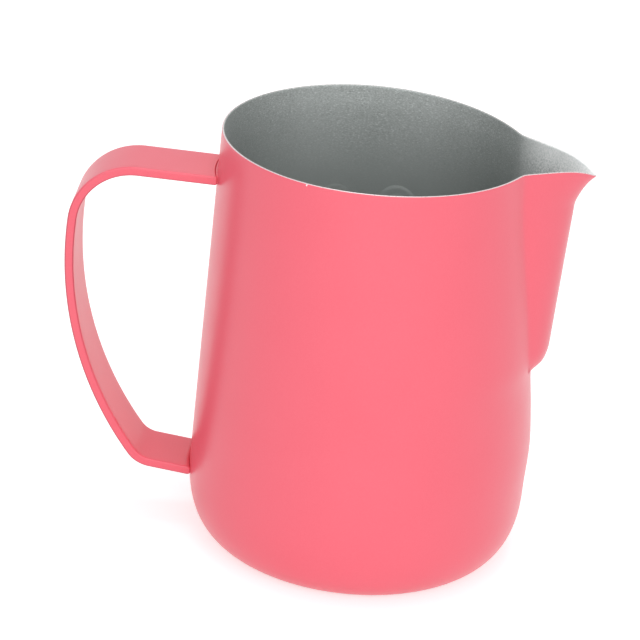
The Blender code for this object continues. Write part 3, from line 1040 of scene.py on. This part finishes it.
def weld_material():
    """The coat over a ground weld: a deeper coral, mottled, with a grainy relief."""
    material, tree, shader = new_material("coated_weld")
    mottle = noise(tree, MOTTLE_SCALE)
    tone = mix_colour(tree, mottle, WELD_DEEP, WELD_LIGHT)
    tree.links.new(tone, shader.inputs["Base Color"])
    tree.links.new(span(tree, mottle, *WELD_ROUGHNESS), shader.inputs["Roughness"])
    bump(tree, shader, mottle, MOTTLE_RELIEF, 0.6)
    return material


weld = weld_material()
for material in (coat, rim_metal, steel):
    shell.data.materials.append(material)
strap.data.materials.append(strap_coat)
for seam in seams:
    seam.data.materials.append(weld)
for mark in marks:
    mark.data.materials.append(steel)
print("weld material:", weld.name)

# %% [markdown]
# On the frame
#
# Each skin now takes the place of the solid that it follows, and the solid stays in the model for contact.
# All of them ride on the one body, since nothing on a pitcher moves.

# %% Put the pieces on the frame
for piece, node, slot in [
    (shell, "body_shell", "body_coat"),
    (strap, "handle_strap", "strap_coat"),
    (seams[0], "upper_weld", "weld"),
    (seams[1], "lower_weld", "weld"),
]:
    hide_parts(node)
    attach(piece, "root")
    print(piece.name, "stands for", node)
for mark in marks:
    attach(mark, "root")

# %% [markdown]
# Floor and light
#
# The photograph was taken in a white tent: light from all round, a white ground and no hard shadow. The
# world is that tent, white to the camera and to reflections, and a little softer as a lamp. The floor is a
# pale sheet that keeps a faint shadow under the pitcher.

# %% The floor
def seen_directly(tree):
    """1 for rays from the camera, a reflection or a clear sheet, and 0 for rays that only light."""
    path = tree.nodes.new("ShaderNodeLightPath")
    seen = path.outputs["Is Camera Ray"]
    for name in ("Is Glossy Ray", "Is Transmission Ray"):
        seen = calculate(tree, "MAXIMUM", seen, path.outputs[name])
    return seen


FLOOR_SIZE = 6.0
FLOOR_TONE = (0.85, 0.85, 0.85, 1.0)
FLOOR_ROUGHNESS = 0.9
FLOOR_GLOW = 0.55
half = 0.5 * FLOOR_SIZE
floor_mesh = bpy.data.meshes.new("floor")
floor_corners = [(-half, -half, 0), (half, -half, 0), (half, half, 0), (-half, half, 0)]
floor_mesh.from_pydata(floor_corners, [], [(0, 1, 2, 3)])
floor = bpy.data.objects.new("floor", floor_mesh)
bpy.context.scene.collection.objects.link(floor)
floor_paint, floor_tree, floor_shader = new_material("floor_paint")
floor_shader.inputs["Base Color"].default_value = FLOOR_TONE
floor_shader.inputs["Roughness"].default_value = FLOOR_ROUGHNESS
floor_shader.inputs["Specular IOR Level"].default_value = 0.0
glow = floor_tree.nodes.new("ShaderNodeEmission")
add = floor_tree.nodes.new("ShaderNodeAddShader")
floor_seen = seen_directly(floor_tree)
floor_tree.links.new(span(floor_tree, floor_seen, 0.0, FLOOR_GLOW), glow.inputs["Strength"])
floor_tree.links.new(floor_shader.outputs["BSDF"], add.inputs[0])
floor_tree.links.new(glow.outputs["Emission"], add.inputs[1])
floor_tree.links.new(add.outputs["Shader"], floor_tree.nodes["Material Output"].inputs["Surface"])
floor_mesh.materials.append(floor_paint)
print("floor:", FLOOR_SIZE, "m square")

# %% The tent
TENT_LAMP = 0.52
world = bpy.data.worlds.new("white_tent")
bpy.context.scene.world = world
world.use_nodes = True
tent = world.node_tree
backdrop = tent.nodes["Background"]
backdrop.inputs["Color"].default_value = (1.0, 1.0, 1.0, 1.0)
tent.links.new(span(tent, seen_directly(tent), TENT_LAMP, 1.0), backdrop.inputs["Strength"])
print("tent strength as a lamp:", TENT_LAMP)


# %% Soft boxes
def soft_box(name, place, aim, size, power):
    """A rectangular area lamp at a place, turned towards a point."""
    data = bpy.data.lights.new(name, "AREA")
    data.shape = "RECTANGLE"
    data.size, data.size_y = size
    data.energy = power
    lamp = bpy.data.objects.new(name, data)
    lamp.location = place
    lamp.rotation_euler = (Vector(aim) - Vector(place)).to_track_quat("-Z", "Y").to_euler()
    bpy.context.scene.collection.objects.link(lamp)
    print(name, "at", place, "power", power)


soft_box("front_box", place=(0.16, -1.3, 0.62), aim=(0.0, 0.0, 0.06), size=(2.2, 1.1), power=13.1)
soft_box("top_box", place=(0.0, 0.05, 1.1), aim=(0.0, 0.0, 0.1), size=(0.5, 0.5), power=2.5)

# %% [markdown]
# The camera
#
# The camera's place was worked out from the photograph: the ellipse of the rim gives the height
# of the view, the two ends of the strap give the turn, and how much the far rim shrinks gives the distance.
# The camera was also held at a small tilt. All of these are angles and lengths, so the camera is built
# from three unit vectors: right, up and back.

# %% Aim the camera
VIEW_TURN = math.radians(1.617)
VIEW_HEIGHT = math.radians(23.857)
VIEW_TILT = math.radians(4.997)
VIEW_DISTANCE = 652.2 * MM
VIEW_TARGET = Vector((-12.92 * MM, 0.0, 59.15 * MM))
SENSOR_WIDTH = 36.0
FOCAL_LENGTH = 143.4
NEAREST_SEEN = 10.0 * MM
level = Vector((math.cos(VIEW_TURN), math.sin(VIEW_TURN), 0.0))
away = Vector((math.sin(VIEW_TURN), -math.cos(VIEW_TURN), 0.0))
back = math.cos(VIEW_HEIGHT) * away + math.sin(VIEW_HEIGHT) * Vector((0.0, 0.0, 1.0))
upright = back.cross(level)
right = math.cos(VIEW_TILT) * level + math.sin(VIEW_TILT) * upright
up = math.cos(VIEW_TILT) * upright - math.sin(VIEW_TILT) * level
lens = bpy.data.cameras.new("camera")
lens.sensor_fit = "HORIZONTAL"
lens.sensor_width = SENSOR_WIDTH
lens.lens = FOCAL_LENGTH
lens.clip_start = NEAREST_SEEN
camera = bpy.data.objects.new("camera", lens)
pose = Matrix((right, up, back)).transposed().to_4x4()
pose.translation = VIEW_TARGET + VIEW_DISTANCE * back
camera.matrix_world = pose
bpy.context.scene.collection.objects.link(camera)
bpy.context.scene.camera = camera
bpy.context.scene.view_settings.view_transform = "Standard"
print("camera at, mm:", [round(value / MM, 1) for value in camera.location])
